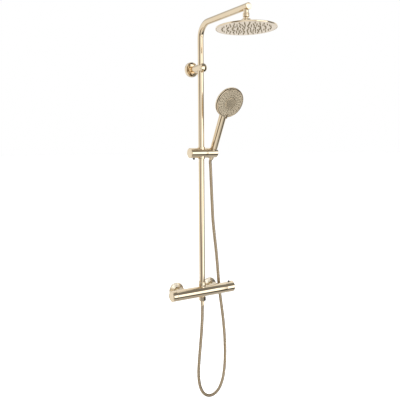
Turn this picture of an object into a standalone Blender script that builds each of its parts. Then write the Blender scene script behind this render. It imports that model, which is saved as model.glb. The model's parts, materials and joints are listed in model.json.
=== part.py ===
"""Rainfall shower column: thermostatic bar valve, rigid riser with a fixed
overhead rain head, and a hand shower on a sliding, swivelling holder.

Frame: origin on the wall plane, midway between the two water inlets, at the
height of the bar's axis.  +Z up, +Y into the wall, the object stands out
towards -Y.  Dimensions below are in millimetres and are scaled to metres.
"""
import bpy
import bmesh
import math
from mathutils import Matrix, Vector

MM = 0.001

# ---------------------------------------------------------------- dimensions
YC = -66.0            # bar axis and riser axis stand this far off the wall
INLET_X = 75.0        # half of the 150 mm inlet centres
BAR_R = 20.0
BODY_L, BODY_R = -116.6, 103.6      # ends of the valve body along X
KNOB_T0, KNOB_T1 = 104.0, 141.0     # temperature knob
KNOB_F0, KNOB_F1 = -117.0, -135.0   # flow knob
CART_R = 15.0         # cartridge bores
TUBE_R, TUBE_RI = 11.0, 9.9
Z_BRACKET = 825.0
Z_ARM = 979.0         # arm axis height above the riser axis
ARM_RISE = math.radians(2.4)
BEND_R = 52.0
ARM_END_Y = -345.0
HEAD_Y = -332.0       # outlet position along the arm
HEAD_R = 100.0
BALL_T, BALL_R = 47.5, 11.0         # ball centre below the arm axis, radius
Z_SLIDER = 519.0
SLIDER_R = 18.3
SLIDER_L, SLIDER_SEAM, HOLDER_R = -48.6, 18.4, 64.5
CONE_X, CONE_Y = 49.0, -67.5        # cone axis of the handset holder
CONE_TILT = math.radians(26.5)
HANDLE_R = 13.5
SPRAY_Z, SPRAY_R = 207.0, 55.0      # head centre up the handle, head radius
ROSE_R = 31.0
BRACKET_ROSE_R = 27.5
HOSE_R = 6.0

# ------------------------------------------------------------------ clear out
for _o in list(bpy.data.objects):
    bpy.data.objects.remove(_o, do_unlink=True)

# ------------------------------------------------------------------ materials
_mats = {}


def material(name, colour, rough, metal):
    if name not in _mats:
        m = bpy.data.materials.new(name)
        m.use_nodes = True
        b = m.node_tree.nodes["Principled BSDF"]
        b.inputs["Base Color"].default_value = (*colour, 1.0)
        b.inputs["Roughness"].default_value = rough
        b.inputs["Metallic"].default_value = metal
        _mats[name] = m
    return _mats[name]


GOLD = material("champagne_gold", (0.80, 0.66, 0.46), 0.16, 1.0)
ROSE = material("rose_gold_plate", (0.86, 0.70, 0.56), 0.22, 1.0)
BRASS = material("raw_brass", (0.72, 0.56, 0.30), 0.35, 1.0)
STEEL = material("spring_steel", (0.62, 0.62, 0.60), 0.30, 1.0)
RUBBER = material("black_rubber", (0.03, 0.03, 0.03), 0.75, 0.0)
NYLON = material("dark_nylon", (0.10, 0.095, 0.08), 0.55, 0.0)
WHITE = material("white_acetal", (0.75, 0.74, 0.70), 0.45, 0.0)
SILICONE = material("grey_silicone", (0.22, 0.20, 0.15), 0.60, 0.0)


# -------------------------------------------------------------------- helpers
def frame(origin, x, y, z):
    m = Matrix.Identity(4)
    for i, v in enumerate((x, y, z)):
        m[0][i], m[1][i], m[2][i] = v
    m.translation = Vector(origin) * MM
    return m


def wall(x, z):
    """Local Z runs out of the wall (-Y)."""
    return frame((x, 0, z), (1, 0, 0), (0, 0, 1), (0, -1, 0))


def along_x(z):
    """Local Z runs along +X on the bar or slider axis."""
    return frame((0, YC, z), (0, 1, 0), (0, 0, 1), (1, 0, 0))


def upright(x, y, z):
    return Matrix.Translation(Vector((x, y, z)) * MM)


def shift(m, x, y, z):
    return m @ Matrix.Translation(Vector((x, y, z)) * MM)


def finish_mesh(name, bm, mat, place, cutter=False):
    bmesh.ops.remove_doubles(bm, verts=bm.verts, dist=1e-7)
    bmesh.ops.recalc_face_normals(bm, faces=bm.faces)
    me = bpy.data.meshes.new(name)
    bm.to_mesh(me)
    bm.free()
    me.shade_smooth()
    me.set_sharp_from_angle(angle=math.radians(35))
    ob = bpy.data.objects.new(name, me)
    bpy.context.scene.collection.objects.link(ob)
    ob.matrix_world = place
    if cutter:
        ob.hide_render = True
        ob.display_type = "WIRE"
    else:
        me.materials.append(mat)
    return ob


def turned(name, profile, seg, mat, place, h0=0.0, cutter=False):
    """Spin a (radius, height) profile about local Z.  A profile that starts
    and ends on the axis is a solid; any other is closed into a ring."""
    bm = bmesh.new()
    vs = [bm.verts.new((r * MM, 0, (h - h0) * MM)) for r, h in profile]
    es = [bm.edges.new((a, b)) for a, b in zip(vs, vs[1:])]
    if not (profile[0][0] == 0 and profile[-1][0] == 0):
        es.append(bm.edges.new((vs[-1], vs[0])))
    bmesh.ops.spin(bm, geom=vs + es, cent=(0, 0, 0), axis=(0, 0, 1),
                   dvec=(0, 0, 0), angle=2 * math.pi, steps=seg,
                   use_merge=True, use_duplicate=False)
    return finish_mesh(name, bm, mat, place, cutter)


def rod(name, r, h_a, h_b, seg, place, mat=None, cutter=True):
    # turned a little, so that its edges never meet another piece's edges
    return turned(name, [(0, h_a), (r, h_a), (r, h_b), (0, h_b)], seg, mat,
                  place @ Matrix.Rotation(0.11, 4, "Z"), cutter=cutter)


def block(name, lo, hi, place, mat=None, cutter=True):
    bm = bmesh.new()
    bmesh.ops.create_cube(bm, size=1.0)
    size = (Vector(hi) - Vector(lo)) * MM
    mid = (Vector(hi) + Vector(lo)) * 0.5 * MM
    bmesh.ops.scale(bm, verts=bm.verts, vec=size)
    bmesh.ops.translate(bm, verts=bm.verts, vec=mid)
    return finish_mesh(name, bm, mat, place, cutter)


def boolean(ob, other, op="DIFFERENCE"):
    m = ob.modifiers.new(op.lower() + "_" + other.name, "BOOLEAN")
    m.operation = op
    m.solver = "EXACT"
    m.object = other


def wire(name, pts, radius, mat, resolution, place=None):
    """A round wire or hose swept along points, as a capped curve."""
    cu = bpy.data.curves.new(name, "CURVE")
    cu.dimensions = "3D"
    cu.bevel_depth = radius * MM
    cu.bevel_resolution = resolution
    cu.use_fill_caps = True
    sp = cu.splines.new("POLY")
    sp.points.add(len(pts) - 1)
    for p, q in zip(sp.points, pts):
        p.co = (q[0] * MM, q[1] * MM, q[2] * MM, 1.0)
    cu.materials.append(mat)
    ob = bpy.data.objects.new(name, cu)
    bpy.context.scene.collection.objects.link(ob)
    if place is not None:
        ob.matrix_world = place
    return ob


def coil(r, h_a, h_b, turns, per_turn):
    n = int(turns * per_turn)
    return [(r * math.cos(2 * math.pi * i / per_turn),
             r * math.sin(2 * math.pi * i / per_turn),
             h_a + (h_b - h_a) * i / n) for i in range(n + 1)]


def smooth_route(knots, spacing):
    """Centripetal Catmull-Rom curve through the knots, resampled evenly."""
    k = [Vector(p) for p in knots]
    k = [k[0] * 2 - k[1]] + k + [k[-1] * 2 - k[-2]]
    dense = []
    for i in range(1, len(k) - 2):
        p0, p1, p2, p3 = k[i - 1], k[i], k[i + 1], k[i + 2]
        t0 = 0.0
        t1 = t0 + math.sqrt((p1 - p0).length)
        t2 = t1 + math.sqrt((p2 - p1).length)
        t3 = t2 + math.sqrt((p3 - p2).length)
        for j in range(24):
            t = t1 + (t2 - t1) * j / 24
            a1 = p0 * ((t1 - t) / (t1 - t0)) + p1 * ((t - t0) / (t1 - t0))
            a2 = p1 * ((t2 - t) / (t2 - t1)) + p2 * ((t - t1) / (t2 - t1))
            a3 = p2 * ((t3 - t) / (t3 - t2)) + p3 * ((t - t2) / (t3 - t2))
            b1 = a1 * ((t2 - t) / (t2 - t0)) + a2 * ((t - t0) / (t2 - t0))
            b2 = a2 * ((t3 - t) / (t3 - t1)) + a3 * ((t - t1) / (t3 - t1))
            dense.append(b1 * ((t2 - t) / (t2 - t1)) + b2 * ((t - t1) / (t2 - t1)))
    dense.append(k[-2].copy())
    total = sum((b - a).length for a, b in zip(dense, dense[1:]))
    n = int(round(total / spacing))
    step = total / n
    out, acc, want = [dense[0]], 0.0, step
    for a, b in zip(dense, dense[1:]):
        seg = (b - a).length
        while acc + seg >= want - 1e-9 and len(out) < n:
            out.append(a.lerp(b, (want - acc) / seg))
            want += step
        acc += seg
    out.append(dense[-1])
    return out


# =============================================================== wall unions
for side, x in (("left", -INLET_X), ("right", INLET_X)):
    W = wall(x, 0)
    # pressed cover rose, hollow behind
    turned(side + "_wall_flange",
           [(ROSE_R, 0), (ROSE_R, 3.0), (29.6, 4.8), (14.3, 9.6),
            (14.3, 7.6), (28.2, 2.8), (28.2, 0)], 24, GOLD, W)
    # wall fitting: base plate, barrel with the union thread, water way
    turned(side + "_wall_union",
           [(7.6, 0), (24.0, 0), (24.0, 3.6), (13.3, 3.9), (13.3, 37.9),
            (7.6, 37.9)], 18, BRASS, W)
    # hexagon nut with an inner lip behind the valve's collar
    turned(side + "_union_nut",
           [(13.75, 24.0), (15.9, 24.0), (15.9, 45.6), (12.4, 45.6),
            (12.4, 43.9), (13.75, 43.9)], 18, GOLD, W)
    turned(side + "_inlet_washer",
           [(8.0, 38.2), (13.0, 38.2), (13.0, 40.2), (8.0, 40.2)], 12, RUBBER, W)
    turned(side + "_check_valve",
           [(3.0, 43.0), (7.0, 43.0), (7.0, 49.5), (3.0, 49.5)], 12, WHITE, W)

# ================================================================ valve body
BAR = along_x(0)
body = turned("valve_body",
              [(CART_R, BODY_R), (CART_R, 41.6), (8.0, 41.6), (8.0, -55.6),
               (CART_R, -55.6), (CART_R, BODY_L), (BAR_R, BODY_L),
               (BAR_R, BODY_R)], 24, GOLD, BAR)
for side, x in (("left", -INLET_X), ("right", INLET_X)):
    W = wall(x, 0)
    boolean(body, turned("cut_stub_" + side,
                         [(0, 40.5), (13.3, 40.5), (13.3, 43.4), (12.0, 43.4),
                          (12.0, 50.6), (0, 50.6)], 18, None, W, cutter=True),
            "UNION")
UP = upright(0, YC, 0)
boolean(body, turned("cut_riser_boss",
                     [(0, 10), (12.25, 10), (12.25, 20.4), (9.3, 20.4),
                      (9.3, 28.8), (8.2, 28.8), (8.2, 31.6), (9.3, 31.6),
                      (9.3, 40), (0, 40)], 18, None, UP, cutter=True), "UNION")
boolean(body, turned("cut_outlet_boss",
                     [(0, -10), (12.0, -10), (12.0, -20.6), (9.0, -20.6),
                      (9.0, -29), (0, -29)], 18, None, UP, cutter=True), "UNION")
for side, x in (("left", -INLET_X), ("right", INLET_X)):
    boolean(body, rod("cut_inlet_" + side, 7.5, 36.7, 57.9, 16, wall(x, 0)))
boolean(body, rod("cut_riser_way", 6.0, 1.3, 43.0, 14, UP))
boolean(body, rod("cut_outlet_way", 5.0, -31.7, -1.6, 14, UP))

turned("thermostatic_cartridge",
       [(0, 42), (14.6, 42), (14.6, 97.2), (9, 97.2), (9, 106), (4.4, 106),
        (4.4, 90), (0, 90)], 18, WHITE, BAR)
turned("flow_diverter_cartridge",
       [(0, -56), (14.6, -56), (14.6, -110), (9, -110), (9, -118),
        (4.4, -118), (4.4, -100), (0, -100)], 18, WHITE, BAR)
turned("temperature_stop_ring",
       [(9.4, 97.6), (14.6, 97.6), (14.6, 103), (9.4, 103)], 12, NYLON, BAR)

# temperature knob: cup with a hub for the spindle, a raised lug on top and a
# hole for the override button
knob = turned("temperature_knob",
              [(0, 128), (4.3, 128), (4.3, 115), (7, 115), (7, 135.5),
               (16, 135.5), (16, KNOB_T0), (BAR_R, KNOB_T0), (BAR_R, 139.4),
               (18.6, KNOB_T1), (0, KNOB_T1)], 24, GOLD, BAR)
boolean(knob, block("cut_knob_lug", (127, -4, 17.5), (140, 4, 22.0),
                    upright(0, YC, 0)), "UNION")
boolean(knob, rod("cut_button_hole", 3.9, 12.5, 26.0, 12, upright(121.5, YC, 0)))
turned("temperature_spindle",
       [(0, 90.4), (3.9, 90.4), (3.9, 127.6), (0, 127.6)], 10, BRASS, BAR)
turned("override_button",
       [(0, 13.0), (5.0, 13.0), (5.0, 14.4), (3.5, 14.4), (3.5, 24.4),
        (2.8, 25.0), (0, 25.0)], 12, NYLON, upright(121.5, YC, 0))
wire("override_spring", coil(2.8, 7.9, 12.2, 2.5, 8), 0.4, STEEL, 1,
     upright(121.5, YC, 0))

turned("flow_knob",
       [(0, -127), (4.3, -127), (4.3, -119), (7, -119), (7, -130),
        (16, -130), (16, KNOB_F0), (BAR_R, KNOB_F0), (BAR_R, -133.4),
        (18.6, KNOB_F1), (0, KNOB_F1)], 24, GOLD, BAR)
turned("flow_spindle",
       [(0, -100.4), (3.9, -100.4), (3.9, -126.6), (0, -126.6)], 10, BRASS, BAR)

# ===================================================================== riser
turned("riser_collar", [(11.35, 20.75), (13.3, 20.75), (13.3, 37.4),
                        (12.6, 38.2), (11.35, 38.2)], 18, GOLD, UP)
turned("riser_base_o_ring", [(8.5, 29.2), (9.5, 29.2), (9.5, 31.2),
                             (8.5, 31.2)], 12, RUBBER, UP)
turned("riser_tube", [(TUBE_RI, 21.0), (TUBE_R, 21.0), (TUBE_R, 824.7),
                      (TUBE_RI, 824.7)], 18, GOLD, UP)
turned("riser_joint_insert", [(7.6, 800), (9.5, 800), (9.5, 850), (7.6, 850)],
       12, NYLON, UP)


def arm_stations():
    """Centre, in-plane normal for each ring of the bent arm tube."""
    z1 = Z_ARM + (BEND_R * (1 - math.sin(ARM_RISE))) * math.tan(ARM_RISE) \
        - BEND_R * math.cos(ARM_RISE)
    turn = math.pi / 2 - ARM_RISE
    st = [((0, YC, 825.0 + 0.1), 0.0), ((0, YC, z1), 0.0)]
    n = 8
    for i in range(1, n + 1):
        a = turn * i / n
        st.append(((0, YC - BEND_R * (1 - math.cos(a)),
                    z1 + BEND_R * math.sin(a)), a))
    end_z = Z_ARM + (YC - ARM_END_Y) * math.tan(ARM_RISE)
    st.append(((0, ARM_END_Y, end_z), turn))
    return st


def arm_mesh(name, seg=18):
    bm = bmesh.new()
    rings = []
    for (c, a) in arm_stations():
        # tangent (0, -sin a, cos a); normal in the plane (0, cos a, sin a)
        nv = Vector((0, math.cos(a), math.sin(a)))
        xv = Vector((1, 0, 0))
        both = []
        for r in (TUBE_R, TUBE_RI):
            both.append([bm.verts.new((Vector(c) + (xv * math.cos(t) + nv * math.sin(t)) * r) * MM)
                         for t in (2 * math.pi * k / seg for k in range(seg))])
        rings.append(both)
    for (o1, i1), (o2, i2) in zip(rings, rings[1:]):
        for k in range(seg):
            j = (k + 1) % seg
            bm.faces.new((o1[k], o1[j], o2[j], o2[k]))
            bm.faces.new((i1[j], i1[k], i2[k], i2[j]))
    for (o, i) in (rings[0], rings[-1]):
        for k in range(seg):
            j = (k + 1) % seg
            bm.faces.new((o[k], o[j], i[j], i[k]))
    return finish_mesh(name, bm, GOLD, Matrix.Identity(4))


HEAD_Z = Z_ARM + (YC - HEAD_Y) * math.tan(ARM_RISE)
s, c = math.sin(ARM_RISE), math.cos(ARM_RISE)
# local Z runs down from the arm, square to it; local Y runs out along the arm
DROP = frame((0, HEAD_Y, HEAD_Z), (1, 0, 0), (0, -c, s), (0, -s, -c))
BALL = shift(DROP, 0, 0, BALL_T)
# local Z runs out along the arm from its end
END = frame((0, ARM_END_Y, Z_ARM + (YC - ARM_END_Y) * math.tan(ARM_RISE)),
            (1, 0, 0), (0, s, c), (0, -c, s))

arm = arm_mesh("arm_tube")
boolean(arm, rod("cut_arm_outlet", 5.5, 4.0, 16.0, 12, DROP))
turned("arm_end_cap", [(0, -8), (9.4, -8), (9.4, 0.35), (TUBE_R, 0.35),
                       (TUBE_R, 1.6), (10.2, 2.2), (0, 2.2)], 18, GOLD, END)

# ============================================================== wall bracket
WB = wall(0, Z_BRACKET)
turned("bracket_flange",
       [(BRACKET_ROSE_R, 0), (BRACKET_ROSE_R, 7.0), (26.2, 9.2), (24.6, 9.8),
        (18.5, 7.0), (14.5, 6.6), (14.5, 4.8), (18.5, 5.0), (24.4, 7.2),
        (24.6, 0)], 24, GOLD, WB)
turned("bracket_wall_plate",
       [(0, 0), (20.0, 0), (20.0, 3.6), (6.0, 3.6), (6.0, 20.0), (0, 20.0)],
       16, STEEL, WB)
stem = turned("bracket_stem",
              [(0, 22), (6.4, 22), (6.4, 5.2), (14.0, 5.2), (14.0, 79.6),
               (0, 79.6)], 18, GOLD, WB)
boolean(stem, rod("cut_bracket_bore", TUBE_R + 0.35, -20, 20, 18,
                  upright(0, YC, Z_BRACKET)))
boolean(stem, rod("cut_grub_hole", 2.9, -16, -4, 10,
                  upright(0, -13.0, Z_BRACKET)))
turned("bracket_grub_screw", [(0, -13.4), (2.5, -13.4), (2.5, -6.35), (0, -6.35)],
       10, STEEL, upright(0, -13.0, Z_BRACKET))
turned("bracket_front_cap",
       [(0, 80.0), (15.5, 80.0), (15.5, 83.4), (12.0, 85.6), (8.0, 87.3),
        (4.0, 88.2), (0, 88.5)], 18, GOLD, WB)

# ============================================================= overhead head
nip = turned("head_nipple", [(4.5, 5.0), (8.5, 5.0), (8.5, 20.0), (4.5, 20.0)],
             16, GOLD, DROP)
boolean(nip, rod("cut_nipple_saddle", TUBE_R + 0.35, -40, 30, 18,
                 shift(END, 0, 0, -13.0)))


def ball_arc(a0, a1, n, r):
    return [(r * math.sin(math.radians(a0 + (a1 - a0) * i / n)),
             BALL_T - r * math.cos(math.radians(a0 + (a1 - a0) * i / n)))
            for i in range(n + 1)]


turned("swivel_ball",
       [(4, 20.35), (10.6, 20.35), (10.6, 32.4), (9.6, 33.4), (6, 33.6)]
       + ball_arc(33.1, 158.6, 6, BALL_R), 16, GOLD, BALL, h0=BALL_T)
turned("swivel_collar_nut",
       [(10.6, 38.0), (13.4, 38.0), (16.8, 41.0), (18.5, 44.5), (18.5, 60.5),
        (15.7, 60.5), (15.7, 48.2), (11.5, 48.2), (11.1, 44.6),
        (10.1, 41.0)], 18, GOLD, BALL, h0=BALL_T)
# thin spherical liner under the ball; every point stays between two spheres
# about the ball's centre, so it clears the nut and the head at any tilt
turned("swivel_seat_ring",
       [(rho * math.cos(math.radians(b)), BALL_T + rho * math.sin(math.radians(b)))
        for rho, angles in ((11.35, (26, 33, 40, 47, 54)), (12.25, (54, 47, 40, 33, 26)))
        for b in angles], 16, NYLON, BALL, h0=BALL_T)
turned("rain_head_shell",
       [(8.5, 56.6), (15.2, 56.6), (15.2, 61.0), (60, 61.4), (97.5, 63.0),
        (HEAD_R, 64.6), (HEAD_R, 69.0), (98.3, 69.0), (98.3, 65.2),
        (60, 63.6), (20, 63.1), (5, 63.1), (5, 59.6), (8.5, 59.6)],
       36, GOLD, BALL, h0=BALL_T)
turned("rain_head_nozzle_mat",
       [(0, 65.7), (97.4, 65.7), (97.4, 67.3), (0, 67.3)], 28, SILICONE, BALL,
       h0=BALL_T)
turned("rain_head_face_plate",
       [(0, 67.7), (97.6, 67.7), (97.6, 69.0), (0, 69.0)], 28, ROSE, BALL,
       h0=BALL_T)

# ==================================================================== slider
SL = along_x(Z_SLIDER)
SZ = upright(0, YC, Z_SLIDER)
turned("slider_upper_bush", [(11.35, 6), (13.6, 6), (13.6, 21.8), (11.35, 21.8)],
       18, NYLON, SZ)
turned("slider_lower_bush", [(11.35, -21.8), (13.6, -21.8), (13.6, -6),
                             (11.35, -6)], 18, NYLON, SZ)
sb = turned("slider_body",
            [(0, 15.0), (4.4, 15.0), (4.4, SLIDER_SEAM), (SLIDER_R, SLIDER_SEAM),
             (SLIDER_R, SLIDER_L), (13, SLIDER_L), (13, -21), (5.4, -21),
             (5.4, -9), (0, -9)], 24, GOLD, SL)
boolean(sb, rod("cut_slider_bore", 13.95, -25, 25, 18, SZ))
BTN_X = -33.0
SB = upright(BTN_X, YC, Z_SLIDER)
boolean(sb, rod("cut_slider_button", 4.4, -25, -9, 12, SB))
turned("slider_end_cap",
       [(0, -44.2), (12.6, -44.2), (12.6, -48.95), (SLIDER_R, -48.95),
        (SLIDER_R, -50.4), (17.6, -51.0), (0, -51.0)], 24, GOLD, SL)
turned("slider_brake_pad", [(0, -28.6), (5, -28.6), (5, -11.5), (0, -11.5)],
       12, RUBBER, SL)
turned("slider_release_button",
       [(0, -24.2), (3.4, -24.2), (4, -23.4), (4, -11.5), (5.2, -11.5),
        (5.2, -10.2), (0, -10.2)], 12, NYLON, SB)
wire("slider_button_spring", coil(2.9, -9.4, 11.2, 4.0, 8), 0.45, STEEL, 1, SB)
turned("holder_pivot_pin", [(0, 15.4), (4.0, 15.4), (4.0, 30.5), (0, 30.5)],
       12, STEEL, SL)

# ------------------------------------------------------------ handset holder
HS = Matrix.Translation(Vector((CONE_X, CONE_Y, Z_SLIDER)) * MM) \
    @ Matrix.Rotation(CONE_TILT, 4, "X")
hold = turned("handset_holder",
              [(0, 31), (4.4, 31), (4.4, 18.8), (SLIDER_R, 18.8),
               (SLIDER_R, 63.9), (17.7, HOLDER_R), (0, HOLDER_R)], 24, GOLD, SL)


def cone(z, gap=0.0):
    """Radius of the hose cone at height z up the handset axis."""
    return 10.0 + (z + 20.0) * (12.4 - 10.0) / 38.8 + gap


boolean(hold, turned("cut_holder_cone",
                     [(0, -30), (cone(-30, 0.35), -30), (cone(30, 0.35), 30),
                      (0, 30)], 18, None, HS, cutter=True))
boolean(hold, block("cut_holder_slot", (4, -7, -32), (20, 7, 32), HS))

turned("hose_cone_nut",
       [(6.5, -27), (8.4, -27), (9.2, -26), (cone(-20), -20), (cone(18.8), 18.8),
        (10.0, 18.8), (10.0, 4.2), (6.5, 4.2)], 18, GOLD, HS)
turned("handset_washer", [(4.6, 4.6), (9.5, 4.6), (9.5, 6.4), (4.6, 6.4)],
       12, RUBBER, HS)

# -------------------------------------------------------------------- handset
FACE = shift(HS, 0, 0, SPRAY_Z) @ Matrix.Rotation(math.radians(90), 4, "X")
hb = turned("handset_body",
            [(0, 6.8), (9.6, 6.8), (9.6, 20.2), (HANDLE_R, 20.2),
             (HANDLE_R, 158), (12.6, 172), (10.2, 184), (6, 193), (0, 196)],
            18, GOLD, HS)
boolean(hb, turned("cut_head_cup",
                   [(0, -11), (15, -9.6), (30, -5.6), (43, 0.6), (51, 6.0),
                    (SPRAY_R, 10.0), (SPRAY_R, 16.0), (52.8, 16.0),
                    (52.8, 11.2), (46, 5.6), (0, 4.4)], 28, None, FACE,
                   cutter=True), "UNION")
boolean(hb, turned("cut_head_cavity",
                   [(0, 4.4), (46, 5.6), (52.8, 11.4), (52.8, 30), (0, 30)],
                   28, None, FACE @ Matrix.Rotation(0.05, 4, "Z"),
                   cutter=True))
boolean(hb, rod("cut_handset_way", 6.0, 0, 190, 10, HS))
turned("handset_diverter_disc",
       [(8.6, 7.6), (44, 7.6), (49.6, 12.4), (49.6, 15.4), (8.6, 15.4)], 18,
       WHITE, FACE)
turned("handset_nozzle_mat",
       [(8.2, 15.9), (49.6, 15.9), (49.6, 17.9), (8.2, 17.9)], 24, SILICONE, FACE)
turned("handset_spray_plate",
       [(8.2, 18.4), (49.8, 18.4), (49.8, 22.2), (49.0, 22.6), (8.2, 22.6)],
       24, ROSE, FACE)
turned("handset_centre_cap",
       [(0, 17), (7.8, 17), (7.8, 23.0), (16.5, 23.0), (16.5, 23.8),
        (15.3, 24.4), (0, 24.4)], 18, GOLD, FACE)
ring = turned("handset_selector_ring",
              [(50.4, 16.4), (SPRAY_R, 16.4), (SPRAY_R, 21.6), (53.6, 23.4),
               (50.4, 23.2)], 28, GOLD, FACE)
boolean(ring, block("cut_selector_tab", (-3.5, -59.0, 22.95), (3.5, -47.5, 25.8),
                    FACE), "UNION")

# ====================================================================== hose
turned("hose_valve_nut",
       [(9.35, -20.95), (11.75, -20.95), (11.75, -35), (7.75, -35),
        (7.75, -33.6), (9.35, -33.6)], 18, GOLD, UP)
turned("hose_valve_washer", [(5.2, -29.3), (9.0, -29.3), (9.0, -31.2),
                             (5.2, -31.2)], 12, RUBBER, UP)
turned("hose_lower_ferrule",
       [(4.5, -31.6), (9.0, -31.6), (9.0, -33.3), (7.4, -33.3), (7.4, -54.0),
        (6.8, -55.0), (4.5, -55.0)], 12, GOLD, UP)

hose_start = HS @ Vector((0, 0, -27.35 * MM)) / MM
hose_lead = HS @ Vector((0, 0, -36.0 * MM)) / MM
HOSE_KNOTS = [
    tuple(hose_start), tuple(hose_lead),
    (51.4, -50.3, 460), (55.2, -47.0, 420), (59.9, -43.0, 374), (64.6, -40.0, 324),
    (70.0, -37.0, 262), (78.5, -34.5, 199), (88.0, -32.0, 136),
    (96.0, -29.5, 72), (102.5, -27.5, 14), (109.0, -27.0, -40),
    (116.5, -27.5, -92), (123.2, -28.5, -146), (127.2, -31.0, -208),
    (127.0, -34.0, -270), (121.0, -38.0, -332), (107.5, -42.0, -380),
    (86.0, -46.0, -411), (59.0, -49.5, -424), (31.0, -53.0, -420.5),
    (7.0, -56.0, -401), (-9.5, -59.0, -367), (-16.5, -61.5, -322),
    (-15.0, -63.5, -270), (-9.5, -65.0, -207), (-4.0, -66.0, -143),
    (-0.5, YC, -90), (0.0, YC, -55.35)]
wire("shower_hose", smooth_route(HOSE_KNOTS, 24.0), HOSE_R, GOLD, 2)
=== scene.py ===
import bpy
import bmesh
import json
import math
from mathutils import Matrix, Vector, geometry


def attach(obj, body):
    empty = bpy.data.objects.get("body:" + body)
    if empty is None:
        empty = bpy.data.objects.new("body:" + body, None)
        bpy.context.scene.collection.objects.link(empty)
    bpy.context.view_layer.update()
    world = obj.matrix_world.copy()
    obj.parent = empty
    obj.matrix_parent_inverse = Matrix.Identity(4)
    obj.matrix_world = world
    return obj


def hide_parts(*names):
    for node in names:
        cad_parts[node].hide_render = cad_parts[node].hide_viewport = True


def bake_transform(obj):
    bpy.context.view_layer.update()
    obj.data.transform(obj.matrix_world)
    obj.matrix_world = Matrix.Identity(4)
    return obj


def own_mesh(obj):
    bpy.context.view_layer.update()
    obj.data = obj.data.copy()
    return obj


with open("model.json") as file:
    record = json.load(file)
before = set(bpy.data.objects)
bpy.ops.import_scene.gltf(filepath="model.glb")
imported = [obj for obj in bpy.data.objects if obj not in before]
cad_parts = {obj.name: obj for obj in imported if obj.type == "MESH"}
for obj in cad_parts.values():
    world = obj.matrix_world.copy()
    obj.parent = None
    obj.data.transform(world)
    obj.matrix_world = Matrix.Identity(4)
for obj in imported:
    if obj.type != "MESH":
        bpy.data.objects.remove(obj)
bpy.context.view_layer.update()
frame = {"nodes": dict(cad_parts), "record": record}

MM = 0.001
sc = bpy.context.scene

# ------------------------------------------------------------------- camera
C = Vector((-1.17725, -1.85366, 0.56457))
F = Vector((0.5447047, 0.83240954, -0.101937))
R = Vector((0.83633426, -0.54817082, -0.00733213))
U = Vector((0.06198222, 0.08125956, 0.99476384))
cam_data = bpy.data.cameras.new("camera")
cam = bpy.data.objects.new("camera", cam_data)
sc.collection.objects.link(cam)
m = Matrix.Identity(4)
for i, v in enumerate((R, U, -F)):
    m[0][i], m[1][i], m[2][i] = v
m.translation = C
cam.matrix_world = m
cam_data.sensor_width = 36.0
cam_data.lens = 581.27 / 400.0 * 36.0
cam_data.clip_start, cam_data.clip_end = 0.05, 200.0
sc.camera = cam
sc.view_settings.view_transform = "Standard"
sc.view_settings.look = "None"
sc.view_settings.exposure = 0.0
sc.view_settings.gamma = 1.0

# --------------------------------------------------------------- dimensions
# the same driving sizes as the design, in millimetres
YC = -66.0
INLET_X = 75.0
BAR_R = 20.0
BODY_L, BODY_R = -116.6, 103.6
KNOB_T0, KNOB_T1 = 104.0, 141.0
KNOB_F0, KNOB_F1 = -117.0, -135.0
CART_R = 15.0
TUBE_R, TUBE_RI = 11.0, 9.9
Z_BRACKET = 825.0
Z_ARM = 979.0
ARM_RISE = math.radians(2.4)
BEND_R = 52.0
ARM_END_Y = -345.0
HEAD_Y = -332.0
HEAD_R = 100.0
BALL_T, BALL_R = 47.5, 11.0
Z_SLIDER = 519.0
SLIDER_R = 18.3
SLIDER_L, SLIDER_SEAM, HOLDER_R = -48.6, 18.4, 64.5
CONE_X, CONE_Y = 49.0, -67.5
CONE_TILT = math.radians(26.5)
HANDLE_R = 13.5
SPRAY_Z, SPRAY_R = 207.0, 55.0
ROSE_R = 31.0
BRACKET_ROSE_R = 27.5
HOSE_R = 6.0


# ---------------------------------------------------------------- materials
def nodes_of(name):
    mt = bpy.data.materials.new(name)
    mt.use_nodes = True
    nt = mt.node_tree
    b = nt.nodes["Principled BSDF"]
    tc = nt.nodes.new("ShaderNodeTexCoord")
    return mt, nt, b, tc


def noise(nt, tc, scale, detail, rough=0.5, stretch=None):
    n = nt.nodes.new("ShaderNodeTexNoise")
    n.inputs["Scale"].default_value = scale
    n.inputs["Detail"].default_value = detail
    n.inputs["Roughness"].default_value = rough
    if stretch is None:
        nt.links.new(tc.outputs["Object"], n.inputs["Vector"])
    else:
        mp = nt.nodes.new("ShaderNodeMapping")
        mp.inputs["Scale"].default_value = stretch
        nt.links.new(tc.outputs["Object"], mp.inputs["Vector"])
        nt.links.new(mp.outputs["Vector"], n.inputs["Vector"])
    return n


def ramp(nt, src, stops):
    r = nt.nodes.new("ShaderNodeValToRGB")
    els = r.color_ramp.elements
    while len(els) < len(stops):
        els.new(0.5)
    for e, (p, c) in zip(els, stops):
        e.position = p
        e.color = (*c, 1.0)
    nt.links.new(src, r.inputs["Fac"])
    return r


def span(nt, src, lo, hi, flo=0.3, fhi=0.7):
    r = nt.nodes.new("ShaderNodeMapRange")
    r.inputs["From Min"].default_value = flo
    r.inputs["From Max"].default_value = fhi
    r.inputs["To Min"].default_value = lo
    r.inputs["To Max"].default_value = hi
    nt.links.new(src, r.inputs["Value"])
    return r


def bump(nt, b, src, strength, distance):
    bp = nt.nodes.new("ShaderNodeBump")
    bp.inputs["Strength"].default_value = strength
    bp.inputs["Distance"].default_value = distance
    nt.links.new(src, bp.inputs["Height"])
    nt.links.new(bp.outputs["Normal"], b.inputs["Normal"])
    return bp


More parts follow.
